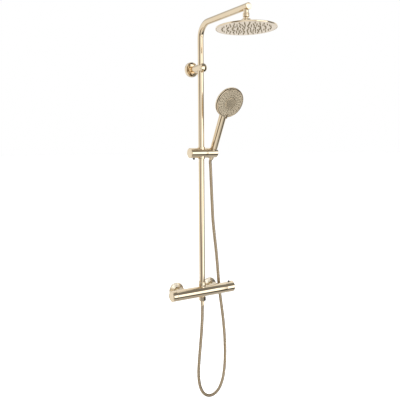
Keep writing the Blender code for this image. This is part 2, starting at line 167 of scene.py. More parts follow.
def plated(name, base, warm, r_lo, r_hi, wear=0.02, grain=700.0, stretch=None, metal=1.0):
    """Polished plating: two close tones in soft clouds, roughness that wanders
    with fingerprints and wiping, and a very fine orange-peel bump."""
    mt, nt, b, tc = nodes_of(name)
    clouds = noise(nt, tc, 24.0, 3.0)
    col = ramp(nt, clouds.outputs["Fac"], [(0.34, base), (0.66, warm)])
    nt.links.new(col.outputs["Color"], b.inputs["Base Color"])
    smear = noise(nt, tc, 90.0, 5.0, 0.6)
    rg = span(nt, smear.outputs["Fac"], r_lo, r_hi)
    nt.links.new(rg.outputs["Result"], b.inputs["Roughness"])
    fine = noise(nt, tc, grain, 2.0, 0.5, stretch)
    bump(nt, b, fine.outputs["Fac"], wear, 0.0002)
    b.inputs["Metallic"].default_value = metal
    return mt


def plain(name, a, c, r_lo, r_hi, scale=300.0, strength=0.15, spec=0.5):
    mt, nt, b, tc = nodes_of(name)
    n = noise(nt, tc, scale * 0.3, 4.0)
    col = ramp(nt, n.outputs["Fac"], [(0.35, a), (0.65, c)])
    nt.links.new(col.outputs["Color"], b.inputs["Base Color"])
    g = noise(nt, tc, scale, 4.0, 0.6)
    rg = span(nt, g.outputs["Fac"], r_lo, r_hi)
    nt.links.new(rg.outputs["Result"], b.inputs["Roughness"])
    bump(nt, b, g.outputs["Fac"], strength, 0.0003)
    b.inputs["Specular IOR Level"].default_value = spec
    return mt


GOLD = plated("champagne_gold", (0.79, 0.655, 0.47), (0.765, 0.62, 0.43), 0.03, 0.075)
TUBE = plated("gold_tube", (0.785, 0.65, 0.465), (0.76, 0.615, 0.425), 0.03, 0.07,
              0.008, 500.0, (1.0, 1.0, 0.06))
SHEET = plated("gold_sheet", (0.785, 0.655, 0.48), (0.755, 0.62, 0.44), 0.08, 0.15, 0.02)
ROSE = plated("rose_face", (0.83, 0.69, 0.52), (0.79, 0.65, 0.48), 0.20, 0.28, 0.04, 900.0)
PLASTIC_GOLD = plated("gold_plated_plastic", (0.785, 0.65, 0.465), (0.755, 0.615, 0.42), 0.05, 0.11)
FACE_GOLD = plated("gold_face", (0.72, 0.61, 0.44), (0.68, 0.57, 0.41), 0.25, 0.31, 0.03)
ROSETTE = plated("rose_plate_gold", (0.90, 0.80, 0.64), (0.87, 0.765, 0.60), 0.22, 0.30, 0.02)
NUBS = plain("handset_silicone", (0.13, 0.11, 0.068), (0.17, 0.145, 0.09), 0.40, 0.55)
BRONZE = plated("gold_cap", (0.50, 0.415, 0.29), (0.46, 0.38, 0.265), 0.24, 0.30, 0.03)
for satin, share in ((FACE_GOLD, 0.58), (BRONZE, 0.62)):
    satin.node_tree.nodes["Principled BSDF"].inputs["Metallic"].default_value = share
# the hose plating is darker than the other gold: painted shade for its dark edges and for the shade in
# the grooves of its winding
HOSE = plated("hose_gold", (0.47, 0.375, 0.26), (0.43, 0.34, 0.235), 0.20, 0.30, 0.05)
HOSE.node_tree.nodes["Principled BSDF"].inputs["Specular Tint"].default_value = (0.5, 0.42, 0.32, 1)
BRASS = plated("raw_brass", (0.72, 0.56, 0.30), (0.62, 0.46, 0.22), 0.26, 0.42, 0.12, 400.0)
STEEL = plated("steel", (0.62, 0.62, 0.60), (0.55, 0.55, 0.53), 0.22, 0.34, 0.08)
# dark rubber for the washers, seals and o-ring; also used as painted shadow for the ring in the selector
# groove
RUBBER_AND_SHADOW = plain("rubber", (0.022, 0.022, 0.022), (0.035, 0.034, 0.032), 0.62, 0.80)
NYLON = plain("dark_nylon", (0.055, 0.050, 0.040), (0.075, 0.068, 0.055), 0.42, 0.58)
WHITE = plain("white_acetal", (0.74, 0.73, 0.69), (0.78, 0.77, 0.74), 0.38, 0.50)
SILICONE = plain("silicone", (0.22, 0.185, 0.12), (0.27, 0.23, 0.15), 0.45, 0.60)
INK = plain("mark_ink", (0.035, 0.030, 0.022), (0.055, 0.046, 0.034), 0.45, 0.60)


# ------------------------------------------------------------------ helpers
def basis(origin, x, y, z):
    mt = Matrix.Identity(4)
    for i, v in enumerate((x, y, z)):
        mt[0][i], mt[1][i], mt[2][i] = v
    mt.translation = Vector(origin) * MM
    return mt


def wall(x, z):
    return basis((x, 0, z), (1, 0, 0), (0, 0, 1), (0, -1, 0))


def along_x(z):
    return basis((0, YC, z), (0, 1, 0), (0, 0, 1), (1, 0, 0))


def upright(x, y, z):
    return Matrix.Translation(Vector((x, y, z)) * MM)


def shift(mt, x, y, z):
    return mt @ Matrix.Translation(Vector((x, y, z)) * MM)


def fillet(profile, rad, steps=3):
    """Rounds every corner of a (radius, height) profile that isn't on the axis."""
    pts = [Vector((p[0], p[1])) for p in profile]
    n = len(pts)
    closed = not (profile[0][0] == 0 and profile[-1][0] == 0)
    out = []
    for i, p in enumerate(pts):
        if not closed and i in (0, n - 1):
            out.append((p.x, p.y))
            continue
        a, b = pts[i - 1], pts[(i + 1) % n]
        d1, d2 = a - p, b - p
        l1, l2 = d1.length, d2.length
        if l1 < 1e-6 or l2 < 1e-6:
            continue
        d1, d2 = d1 / l1, d2 / l2
        cosv = max(-1.0, min(1.0, d1.dot(d2)))
        ang = math.acos(cosv)
        rr = profile[i][2] if len(profile[i]) > 2 else rad
        if ang > math.radians(158) or rr <= 0:
            out.append((p.x, p.y))
            continue
        cut = min(rr / math.tan(ang / 2), 0.45 * l1, 0.45 * l2)
        s, e = p + d1 * cut, p + d2 * cut
        for k in range(steps + 1):
            t = k / steps
            q = s * (1 - t) ** 2 + p * 2 * t * (1 - t) + e * t ** 2
            out.append((max(q.x, 0.0), q.y))
    return out, closed


def to_object(name, bm, mat, place, sharp=38):
    bmesh.ops.remove_doubles(bm, verts=bm.verts, dist=2e-6)
    bmesh.ops.recalc_face_normals(bm, faces=bm.faces)
    me = bpy.data.meshes.new(name)
    bm.to_mesh(me)
    bm.free()
    me.shade_smooth()
    me.set_sharp_from_angle(angle=math.radians(sharp))
    ob = bpy.data.objects.new(name, me)
    sc.collection.objects.link(ob)
    ob.matrix_world = place
    if mat:
        me.materials.append(mat)
    return ob


def turned(name, profile, mat, place, seg=96, rad=0.4, h0=0.0, steps=3):
    prof, closed = fillet([(p[0], p[1] - h0, *p[2:]) for p in profile], rad, steps)
    bm = bmesh.new()
    vs = [bm.verts.new((r * MM, 0, h * MM)) for r, h in prof]
    es = [bm.edges.new((a, b)) for a, b in zip(vs, vs[1:]) if (a.co - b.co).length > 1e-9]
    if closed:
        es.append(bm.edges.new((vs[-1], vs[0])))
    bmesh.ops.spin(bm, geom=vs + es, cent=(0, 0, 0), axis=(0, 0, 1),
                   dvec=(0, 0, 0), angle=2 * math.pi, steps=seg,
                   use_merge=True, use_duplicate=False)
    return to_object(name, bm, mat, place)


def rod(name, r, h_a, h_b, place, seg=48):
    return turned(name, [(0, h_a), (r, h_a, 0), (r, h_b, 0), (0, h_b)], None,
                  place @ Matrix.Rotation(0.11, 4, "Z"), seg=seg)


def block(name, lo, hi, place, mat=None, rad=0.0, segs=3):
    bm = bmesh.new()
    bmesh.ops.create_cube(bm, size=1.0)
    size = (Vector(hi) - Vector(lo)) * MM
    mid = (Vector(hi) + Vector(lo)) * 0.5 * MM
    bmesh.ops.scale(bm, verts=bm.verts, vec=size)
    bmesh.ops.translate(bm, verts=bm.verts, vec=mid)
    if rad > 0:
        bmesh.ops.bevel(bm, geom=list(bm.edges), offset=rad * MM, segments=segs,
                        affect="EDGES", profile=0.5)
    return to_object(name, bm, mat, place)


def hexagon(name, across, h_a, h_b, place, chamfer=1.2, rot=0.0, mat=None):
    bm = bmesh.new()
    rc = across / 2 / math.cos(math.pi / 6)
    rings = []
    for h in (h_a, h_b):
        rings.append([bm.verts.new((rc * MM * math.cos(rot + k * math.pi / 3),
                                    rc * MM * math.sin(rot + k * math.pi / 3), h * MM))
                      for k in range(6)])
    a, b = rings
    for k in range(6):
        j = (k + 1) % 6
        bm.faces.new((a[k], a[j], b[j], b[k]))
    bm.faces.new(a[::-1])
    bm.faces.new(b)
    return to_object(name, bm, mat, place)


def boolean(ob, other, op="DIFFERENCE"):
    mod = ob.modifiers.new(op.lower(), "BOOLEAN")
    mod.operation = op
    mod.solver = "EXACT"
    mod.object = other
    bpy.context.view_layer.update()
    dg = bpy.context.evaluated_depsgraph_get()
    me = bpy.data.meshes.new_from_object(ob.evaluated_get(dg))
    ob.modifiers.clear()
    old = ob.data
    ob.data = me
    bpy.data.meshes.remove(old)
    me.name = ob.name
    bpy.data.objects.remove(other, do_unlink=True)
    bm = bmesh.new()
    bm.from_mesh(me)
    bmesh.ops.remove_doubles(bm, verts=bm.verts, dist=3e-6)
    bmesh.ops.dissolve_degenerate(bm, edges=bm.edges, dist=2e-6)
    bm.to_mesh(me)
    bm.free()
    me.shade_smooth()
    me.set_sharp_from_angle(angle=math.radians(38))
    return ob


def circle(r, n, cx=0.0, cy=0.0, phase=0.0):
    return [Vector((cx + r * math.cos(phase + 2 * math.pi * k / n),
                    cy + r * math.sin(phase + 2 * math.pi * k / n))) for k in range(n)]


def panel(name, outer, inner, back, front, spots, rings, through, mat, place,
          n_outer=120, n_spot=14, edge=0.35):
    """A flat disc with a pattern of holes or nubs.  outer and inner are radii,
    rings the (radius, height) steps from the front face at each spot."""
    bm = bmesh.new()
    loops = [circle(outer - edge, n_outer)]
    if inner:
        loops.append(circle(inner + edge, n_outer // 2))
    r0 = rings[0][0]
    loops += [circle(r0, n_spot, x, y) for x, y in spots]

    def skin(lps, h, flip):
        pts, edges, start = [], [], []
        for lp in lps:
            s0 = len(pts)
            start.append(s0)
            pts += lp
            edges += [(s0 + k, s0 + (k + 1) % len(lp)) for k in range(len(lp))]
        res = geometry.delaunay_2d_cdt(pts, edges, [list(range(len(lps[0])))], 1, 1e-7)
        co, fs, orig = res[0], res[2], res[3]
        back_to = {}
        for k, o in enumerate(orig):
            for q in o:
                back_to[q] = k
        verts = [bm.verts.new((p.x * MM, p.y * MM, h * MM)) for p in co]
        holes = []
        for lp in lps[1:]:
            c = sum(lp, Vector((0, 0))) / len(lp)
            holes.append((c, (lp[0] - c).length))
        for f in fs:
            c = sum((co[i] for i in f), Vector((0, 0))) / len(f)
            if any((c - hc).length < hr * 0.999 for hc, hr in holes):
                continue
            try:
                bm.faces.new([verts[i] for i in (f if not flip else f[::-1])])
            except ValueError:
                pass
        return [[verts[back_to[s0 + k]] for k in range(len(lp))]
                for s0, lp in zip(start, lps)]

    def band(a, b):
        for k in range(len(a)):
            j = (k + 1) % len(a)
            bm.faces.new((a[k], a[j], b[j], b[k]))

    def ring(lp, h):
        return [bm.verts.new((p.x * MM, p.y * MM, h * MM)) for p in lp]

    fr = skin(loops, front, False)
    if through:
        back_loops = [circle(outer, n_outer)]
        if inner:
            back_loops.append(circle(inner, n_outer // 2))
        back_loops += [circle(rings[-1][0], n_spot, x, y) for x, y in spots]
    else:
        back_loops = [circle(outer, n_outer)]
        if inner:
            back_loops.append(circle(inner, n_outer // 2))
    bk = skin(back_loops, back, True)
    up = 1 if front > back else -1
    mid = ring(circle(outer, n_outer), front - up * edge)
    band(fr[0], mid)
    band(mid, bk[0])
    first = 1
    if inner:
        mid = ring(circle(inner, n_outer // 2), front - up * edge)
        band(fr[1], mid)
        band(mid, bk[1])
        first = 2
    for i, (x, y) in enumerate(spots):
        prev = fr[first + i]
        steps = rings[1:-1] if through else rings[1:]
        for r, h in steps:
            cur = ring(circle(r, n_spot, x, y), h)
            band(prev, cur)
            prev = cur
        if through:
            band(prev, bk[first + i])
        else:
            bm.faces.new(prev)
    return to_object(name, bm, mat, place, sharp=30)


def spokes(pattern):
    """[(rows, phase in rows, radii)] to a list of points."""
    out = []
    for rows, phase, radii in pattern:
        for k in range(rows):
            a = 2 * math.pi * (k + phase) / rows
            out += [(r * math.cos(a), r * math.sin(a)) for r in radii]
    return out


def sweep(name, pts, radii, seg, mat, up=Vector((0, 1, 0)), caps=True):
    """A tube along pts (metres) with a radius at every point, rings carried
    along without twist."""
    bm = bmesh.new()
    rings = []
    n = len(pts)
    t_prev, nv = None, None
    for i, p in enumerate(pts):
        t = (pts[min(i + 1, n - 1)] - pts[max(i - 1, 0)]).normalized()
        if nv is None:
            nv = (up - t * up.dot(t)).normalized()
        else:
            q = t_prev.rotation_difference(t)
            nv = q @ nv
            nv = (nv - t * nv.dot(t)).normalized()
        bv = t.cross(nv)
        t_prev = t
        rings.append([bm.verts.new(p + (nv * math.cos(a) + bv * math.sin(a)) * radii[i])
                      for a in (2 * math.pi * k / seg for k in range(seg))])
    for a, b in zip(rings, rings[1:]):
        for k in range(seg):
            j = (k + 1) % seg
            bm.faces.new((a[k], a[j], b[j], b[k]))
    if caps:
        bm.faces.new(rings[0][::-1])
        bm.faces.new(rings[-1])
    bmesh.ops.recalc_face_normals(bm, faces=bm.faces)
    me = bpy.data.meshes.new(name)
    bm.to_mesh(me)
    bm.free()
    me.shade_smooth()
    me.set_sharp_from_angle(angle=math.radians(50))
    ob = bpy.data.objects.new(name, me)
    sc.collection.objects.link(ob)
    me.materials.append(mat)
    return ob


def put(ob, body, node=None):
    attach(ob, body)
    if node:
        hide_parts(*([node] if isinstance(node, str) else node))
    return ob


# --------------------------------------------------------------------- hose
def smooth_route(knots, spacing):
    k = [Vector(p) for p in knots]
    k = [k[0] * 2 - k[1]] + k + [k[-1] * 2 - k[-2]]
    dense = []
    for i in range(1, len(k) - 2):
        p0, p1, p2, p3 = k[i - 1], k[i], k[i + 1], k[i + 2]
        t0 = 0.0
        t1 = t0 + math.sqrt((p1 - p0).length)
        t2 = t1 + math.sqrt((p2 - p1).length)
        t3 = t2 + math.sqrt((p3 - p2).length)
        for j in range(24):
            t = t1 + (t2 - t1) * j / 24
            a1 = p0 * ((t1 - t) / (t1 - t0)) + p1 * ((t - t0) / (t1 - t0))
            a2 = p1 * ((t2 - t) / (t2 - t1)) + p2 * ((t - t1) / (t2 - t1))
            a3 = p2 * ((t3 - t) / (t3 - t2)) + p3 * ((t - t2) / (t3 - t2))
            b1 = a1 * ((t2 - t) / (t2 - t0)) + a2 * ((t - t0) / (t2 - t0))
            b2 = a2 * ((t3 - t) / (t3 - t1)) + a3 * ((t - t1) / (t3 - t1))
            dense.append(b1 * ((t2 - t) / (t2 - t1)) + b2 * ((t - t1) / (t2 - t1)))
    dense.append(k[-2].copy())
    total = sum((b - a).length for a, b in zip(dense, dense[1:]))
    n = int(round(total / spacing))
    step = total / n
    out, acc, want = [dense[0]], 0.0, step
    for a, b in zip(dense, dense[1:]):
        seg = (b - a).length
        while acc + seg >= want - 1e-9 and len(out) < n:
            out.append(a.lerp(b, (want - acc) / seg))
            want += step
        acc += seg
    out.append(dense[-1])
    return out


HS = Matrix.Translation(Vector((CONE_X, CONE_Y, Z_SLIDER)) * MM) \
    @ Matrix.Rotation(CONE_TILT, 4, "X")
hose_start = HS @ Vector((0, 0, -27.35 * MM)) / MM
hose_lead = HS @ Vector((0, 0, -36.0 * MM)) / MM
HOSE_KNOTS = [
    tuple(hose_start), tuple(hose_lead),
    (51.4, -50.3, 460), (55.2, -47.0, 420), (59.9, -43.0, 374), (64.6, -40.0, 324),
    (70.0, -37.0, 262), (78.5, -34.5, 199), (88.0, -32.0, 136),
    (96.0, -29.5, 72), (102.5, -27.5, 14), (109.0, -27.0, -40),
    (116.5, -27.5, -92), (123.2, -28.5, -146), (127.2, -31.0, -208),
    (127.0, -34.0, -270), (121.0, -38.0, -332), (107.5, -42.0, -380),
    (86.0, -46.0, -411), (59.0, -49.5, -424), (31.0, -53.0, -420.5),
    (7.0, -56.0, -401), (-9.5, -59.0, -367), (-16.5, -61.5, -322),
    (-15.0, -63.5, -270), (-9.5, -65.0, -207), (-4.0, -66.0, -143),
    (-0.5, YC, -90), (0.0, YC, -55.35)]
HOSE_STEP = 0.8
route = [p * MM for p in smooth_route(HOSE_KNOTS, HOSE_STEP)][::-1]   # from the valve up
total = sum((b - a).length for a, b in zip(route, route[1:]))
WIND = (1.0, 1.0, 0.985, 0.93)      # one turn of the interlocked winding, 3.2 mm
hose_r = [HOSE_R * MM * WIND[i % 4] for i in range(len(route))]
n_all = len(route) - 1
lift_n, tilt_n, swing_n = 144, 96, 112      # steps of the three upper lengths
cuts = [0, n_all - lift_n - tilt_n - swing_n, n_all - lift_n - tilt_n, n_all - lift_n, n_all]
hose_bodies = [("column", "carriage"), ("carriage", "slider"), ("slider", "holder"),
               ("holder", "hose_end")]
hose_names = ["shower_hose_main", "shower_hose_swing", "shower_hose_tilt", "shower_hose_lift"]
for (a, b), nm, (i0, i1) in zip(hose_bodies, hose_names, zip(cuts, cuts[1:])):
    pts = route[i0:i1 + 1]
    ob = sweep(nm, pts, hose_r[i0:i1 + 1], 24, HOSE, caps=True)
    if nm == "shower_hose_main":
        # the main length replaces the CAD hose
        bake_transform(ob)
        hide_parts("shower_hose")
    else:
        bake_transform(ob)

# -------------------------------------------------------------- wall unions
for side, x in (("left", -INLET_X), ("right", INLET_X)):
    W = wall(x, 0)
    put(turned(side + "_rose",
               [(ROSE_R, 0, 0.1), (ROSE_R, 3.2, 0.9), (29.8, 4.8, 0.9),
                (22.0, 7.2, 8.0), (16.0, 9.9, 0.9), (14.3, 9.9, 0.3),
                (14.3, 7.6, 0.2), (28.2, 2.8, 0.4), (28.2, 0, 0.1)],
               ROSETTE, W, 128, 0.6, steps=4),
        "column", side + "_wall_flange")
    put(turned(side + "_wall_fitting",
               [(7.6, 0), (24.0, 0), (24.0, 3.4), (13.3, 3.9)]
               + [(13.3 - 0.7 * (k % 2), 10.0 + k * 1.0) for k in range(27)]
               + [(13.0, 37.9), (7.6, 37.9)], BRASS, W, 72, 0.2, steps=1),
        "column", side + "_wall_union")
    nut = turned(side + "_hex_union_nut",
                 [(13.75, 24.0), (16.0, 24.0, 0.2), (18.2, 25.6, 0.4), (18.2, 43.8, 0.4),
                  (16.0, 45.6, 0.3), (12.4, 45.6), (12.4, 43.9), (13.75, 43.9)],
                 GOLD, W, 96, 0.25)
    boolean(nut, hexagon("hex", 31.4, 20, 50, W, rot=0.2), "INTERSECT")
    put(nut, "column", side + "_union_nut")
    put(turned(side + "_washer", [(8.0, 38.2), (13.0, 38.2), (13.0, 40.2), (8.0, 40.2)],
               RUBBER_AND_SHADOW, W, 48, 0.3), "column", side + "_inlet_washer")
    put(turned(side + "_non_return_valve", [(3.0, 43.0), (7.0, 43.0), (7.0, 49.5), (3.0, 49.5)],
               WHITE, W, 48, 0.3), "column", side + "_check_valve")

# --------------------------------------------------------------- valve body
BAR = along_x(0)
UP = upright(0, YC, 0)
body = turned("bar_valve_body",
              [(CART_R, BODY_R), (CART_R, 41.6, 0), (8.0, 41.6, 0), (8.0, -55.6, 0),
               (CART_R, -55.6, 0), (CART_R, BODY_L), (BAR_R, BODY_L, 0.5),
               (BAR_R, BODY_R, 0.5)], GOLD, BAR, 128, 0.3)
for side, x in (("left", -INLET_X), ("right", INLET_X)):
    boolean(body, turned("stub_" + side,
                         [(0, 40.5), (13.3, 40.5, 0), (13.3, 43.4, 0.2), (12.0, 43.4, 0),
                          (12.0, 50.6, 0), (0, 50.6)], None,
                         wall(x, 0) @ Matrix.Rotation(0.07, 4, "Z"), 64, 0.2), "UNION")
boolean(body, turned("boss_top",
                     [(0, 10), (12.25, 10, 0), (12.25, 20.4, 0.3), (9.3, 20.4, 0),
                      (9.3, 28.8, 0), (8.2, 28.8, 0), (8.2, 31.6, 0), (9.3, 31.6, 0),
                      (9.3, 40, 0.3), (0, 40)], None,
                     UP @ Matrix.Rotation(0.05, 4, "Z"), 72, 0.2), "UNION")
boolean(body, turned("boss_bottom",
                     [(0, -10), (12.0, -10, 0), (12.0, -20.6, 0.3), (9.0, -20.6, 0),
                      (9.0, -29, 0.3), (0, -29)], None,
                     UP @ Matrix.Rotation(0.05, 4, "Z"), 72, 0.2), "UNION")
for side, x in (("left", -INLET_X), ("right", INLET_X)):
    boolean(body, rod("way_" + side, 7.5, 36.7, 57.9, wall(x, 0)))
boolean(body, rod("way_up", 6.0, 1.3, 43.0, UP))
boolean(body, rod("way_down", 5.0, -31.7, -1.6, UP))
put(body, "column", "valve_body")

put(turned("thermostat_element",
           [(0, 42), (14.6, 42), (14.6, 60), (13.6, 60.6), (13.6, 63), (14.6, 63.6),
            (14.6, 97.2), (9, 97.2), (9, 106), (4.4, 106), (4.4, 90), (0, 90)],
           WHITE, BAR, 64, 0.4), "column", "thermostatic_cartridge")
put(turned("flow_diverter_element",
           [(0, -56), (14.6, -56), (14.6, -74), (13.6, -74.6), (13.6, -77), (14.6, -77.6),
            (14.6, -110), (9, -110), (9, -118), (4.4, -118), (4.4, -100), (0, -100)],
           WHITE, BAR, 64, 0.4), "column", "flow_diverter_cartridge")
put(turned("hot_limit_ring", [(9.4, 97.6), (14.6, 97.6), (14.6, 103), (9.4, 103)],
           NYLON, BAR, 64, 0.3), "column", "temperature_stop_ring")

# --------------------------------------------------------------------- knobs
knob = turned("temperature_handle",
              [(0, 128), (4.3, 128, 0), (4.3, 115, 0.2), (7, 115, 0.2), (7, 135.5, 0),
               (16, 135.5, 0), (16, KNOB_T0, 0.2), (BAR_R, KNOB_T0, 0.5),
               (BAR_R, 139.0, 1.4), (17.4, KNOB_T1, 0.6), (15.6, KNOB_T1, 0.4),
               (14.9, 140.4, 0.4), (0, 140.4)], GOLD, BAR, 128, 0.3, steps=4)
boolean(knob, block("lug", (126.8, -4.2, 16.5), (140.0, 4.2, 22.0), upright(0, YC, 0),
                    rad=1.6, segs=4), "UNION")
boolean(knob, rod("button_hole", 3.9, 12.5, 26.0, upright(121.5, YC, 0), 32))
put(knob, "temperature_control", "temperature_knob")
put(turned("temperature_shaft", [(0, 90.4), (3.9, 90.4), (3.9, 127.6), (0, 127.6)],
           BRASS, BAR, 32, 0.4), "temperature_control", "temperature_spindle")
put(turned("override_push",
           [(0, 13.0), (5.0, 13.0), (5.0, 14.4), (3.5, 14.4, 0), (3.5, 24.0, 1.0),
            (2.6, 25.0, 0.5), (1.2, 24.8, 0.3), (0, 24.8)], NYLON,
           upright(121.5, YC, 0), 40, 0.3, steps=4), "override", "override_button")

# scale on the temperature handle: a plain row of dashes, no figures
marks = bmesh.new()
for k, (x0, wx, ang) in enumerate(((106.5, 4.6, -13), (113.0, 3.0, -10), (118.2, 3.0, -7),
                                    (123.4, 4.6, -4), (113.0, 2.0, -20), (121.5, 2.0, -15))):
    a0 = math.radians(ang)
    half = math.radians(2.2)
    n = 4
    rows = []
    for r in (19.8, 20.06):
        rows.append([[marks.verts.new((x * MM, (YC - r * math.cos(a)) * MM, r * math.sin(a) * MM))
                      for a in (a0 - half + 2 * half * j / n for j in range(n + 1))]
                     for x in (x0, x0 + wx)])
    (b0, b1), (t0, t1) = rows
    for j in range(n):
        marks.faces.new((t0[j], t0[j + 1], t1[j + 1], t1[j]))
        marks.faces.new((b0[j + 1], b0[j], b1[j], b1[j + 1]))
        marks.faces.new((b0[j], b0[j + 1], t0[j + 1], t0[j]))
        marks.faces.new((b1[j + 1], b1[j], t1[j], t1[j + 1]))
    marks.faces.new((b0[0], t0[0], t1[0], b1[0]))
    marks.faces.new((b0[n], b1[n], t1[n], t0[n]))
put(to_object("temperature_scale_marks", marks, INK, Matrix.Identity(4)),
    "temperature_control", None)

put(turned("flow_handle",
           [(0, -127), (4.3, -127, 0), (4.3, -119, 0.2), (7, -119, 0.2), (7, -130, 0),
            (16, -130, 0), (16, KNOB_F0, 0.2), (BAR_R, KNOB_F0, 0.5),
            (BAR_R, -133.2, 1.3), (17.6, KNOB_F1, 0.6), (15.9, KNOB_F1, 0.4),
            (15.2, -134.5, 0.4), (0, -134.5)], GOLD, BAR, 128, 0.3, steps=4),
    "flow_control", "flow_knob")
put(turned("flow_shaft", [(0, -100.4), (3.9, -100.4), (3.9, -126.6), (0, -126.6)],
           BRASS, BAR, 32, 0.4), "flow_control", "flow_spindle")

# --------------------------------------------------------------------- riser
put(turned("riser_sleeve",
           [(11.35, 20.75), (13.3, 20.75, 0.5), (13.3, 33.2, 0.1), (12.9, 33.6, 0.1),
            (12.9, 34.2, 0.1), (13.3, 34.6, 0.1), (13.3, 37.0, 0.6), (12.5, 38.2, 0.5),
            (11.35, 38.2)],
           GOLD, UP, 96, 0.3), "column", "riser_collar")
put(turned("riser_o_ring",
           [(8.5, 29.2), (9.5, 29.2), (9.5, 31.2), (8.5, 31.2)], RUBBER_AND_SHADOW, UP, 48, 0.45),
    "column", "riser_base_o_ring")
put(turned("riser_pipe",
           [(TUBE_RI, 21.0), (TUBE_R, 21.0, 0.3)]
           + [(TUBE_R, 21.0 + 803.7 * k / 12, 0) for k in range(1, 12)]
           + [(TUBE_R, 824.7, 0.3), (TUBE_RI, 824.7)],
           TUBE, UP, 96, 0.2), "column", "riser_tube")
put(turned("riser_coupling", [(7.6, 800), (9.5, 800), (9.5, 850), (7.6, 850)],
           NYLON, UP, 48, 0.3), "column", "riser_joint_insert")


def arm_line():
    z1 = Z_ARM + (BEND_R * (1 - math.sin(ARM_RISE))) * math.tan(ARM_RISE) \
        - BEND_R * math.cos(ARM_RISE)
    turn = math.pi / 2 - ARM_RISE
    st = [((0, YC, 825.1), 0.0), ((0, YC, 860.0), 0.0), ((0, YC, z1 - 6), 0.0), ((0, YC, z1), 0.0)]
    n = 40
    for i in range(1, n + 1):
        a = turn * i / n
        st.append(((0, YC - BEND_R * (1 - math.cos(a)), z1 + BEND_R * math.sin(a)), a))
    last = Vector(st[-1][0])
    end = Vector((0, ARM_END_Y, Z_ARM + (YC - ARM_END_Y) * math.tan(ARM_RISE)))
    for f in (0.03, 0.35, 0.7, 1.0):
        st.append((tuple(last.lerp(end, f)), turn))
    return st


bm = bmesh.new()
rings = []
SEG = 96
for (c, a) in arm_line():
    nv, xv = Vector((0, math.cos(a), math.sin(a))), Vector((1, 0, 0))
    rings.append([[bm.verts.new((Vector(c) + (xv * math.cos(t) + nv * math.sin(t)) * r) * MM)
                   for t in (2 * math.pi * k / SEG for k in range(SEG))]
                  for r in (TUBE_R, TUBE_RI)])
for (o1, i1), (o2, i2) in zip(rings, rings[1:]):
    for k in range(SEG):
        j = (k + 1) % SEG
        bm.faces.new((o1[k], o1[j], o2[j], o2[k]))
        bm.faces.new((i1[j], i1[k], i2[k], i2[j]))
for (o, i) in (rings[0], rings[-1]):
    for k in range(SEG):
        j = (k + 1) % SEG
        bm.faces.new((o[k], o[j], i[j], i[k]))
arm = to_object("shower_arm_pipe", bm, TUBE, Matrix.Identity(4))

HEAD_Z = Z_ARM + (YC - HEAD_Y) * math.tan(ARM_RISE)
sn, cs = math.sin(ARM_RISE), math.cos(ARM_RISE)
DROP = basis((0, HEAD_Y, HEAD_Z), (1, 0, 0), (0, -cs, sn), (0, -sn, -cs))
BALL = shift(DROP, 0, 0, BALL_T)
END = basis((0, ARM_END_Y, Z_ARM + (YC - ARM_END_Y) * math.tan(ARM_RISE)),
            (1, 0, 0), (0, sn, cs), (0, -cs, sn))
boolean(arm, rod("arm_outlet", 5.5, 4.0, 16.0, DROP, 40))
put(arm, "column", "arm_tube")
put(turned("arm_end_disc",
           [(0, -8), (9.4, -8), (9.4, 0.35, 0), (TUBE_R, 0.35, 0.1), (TUBE_R, 1.4, 0.6),
            (10.0, 2.2, 0.4), (0, 2.2)], GOLD, END, 96, 0.3, steps=4),
    "column", "arm_end_cap")

# ------------------------------------------------------------- wall bracket
WB = wall(0, Z_BRACKET)
put(turned("bracket_rose",
           [(BRACKET_ROSE_R, 0, 0.1), (BRACKET_ROSE_R, 6.4, 1.2), (26.6, 8.6, 1.2),
            (24.6, 9.8, 0.9), (21.5, 8.0, 2.0), (18.5, 7.0, 1.0), (14.5, 6.6, 0.3),
            (14.5, 4.8, 0.2), (18.5, 5.0, 0.5), (24.4, 7.2, 0.2), (24.6, 0, 0.1)],
           GOLD, WB, 128, 0.4, steps=4), "column", "bracket_flange")
put(turned("bracket_backing_plate",
           [(0, 0), (20.0, 0), (20.0, 3.6), (6.0, 3.6), (6.0, 20.0), (0, 20.0)],
           STEEL, WB, 48, 0.4), "column", "bracket_wall_plate")
stem = turned("bracket_barrel",
              [(0, 22), (6.4, 22, 0), (6.4, 5.2, 0.3), (14.0, 5.2, 0.5), (14.0, 79.6, 0.5),
               (0, 79.6)], GOLD, WB, 96, 0.3)
boolean(stem, rod("bracket_bore", TUBE_R + 0.35, -20, 20, upright(0, YC, Z_BRACKET), 64))
boolean(stem, rod("grub_hole", 2.9, -16, -4, upright(0, -13.0, Z_BRACKET), 24))
put(stem, "column", "bracket_stem")
screw = turned("grub_screw", [(0, -13.4), (2.5, -13.4, 0.4), (2.5, -6.35, 0.3), (0, -6.35)],
               STEEL, upright(0, -13.0, Z_BRACKET), 32, 0.3)
boolean(screw, hexagon("socket", 2.5, -15, -11.2, upright(0, -13.0, Z_BRACKET)))
put(screw, "column", "bracket_grub_screw")
put(turned("bracket_dome",
           [(0, 80.0), (15.5, 80.0, 0.5), (15.5, 83.2, 0.6)]
           + [(15.4 - 15.4 * k / 14, 88.55 - 26.0 + math.sqrt(26.0 ** 2 - (15.4 - 15.4 * k / 14) ** 2), 0)
              for k in range(15)], GOLD, WB, 96, 0.5, steps=5),
    "column", "bracket_front_cap")

# ---------------------------------------------------------------- rain head
nip = turned("head_drop_pipe", [(4.5, 5.0), (8.5, 5.0, 0), (8.5, 20.0, 0.4), (4.5, 20.0)],
             GOLD, DROP, 72, 0.3)
boolean(nip, rod("saddle", TUBE_R + 0.35, -40, 30, shift(END, 0, 0, -13.0), 96))
put(nip, "column", "head_nipple")


def ball_arc(a0, a1, n, r):
    return [(r * math.sin(math.radians(a0 + (a1 - a0) * i / n)),
             BALL_T - r * math.cos(math.radians(a0 + (a1 - a0) * i / n)), 0)
            for i in range(n + 1)]


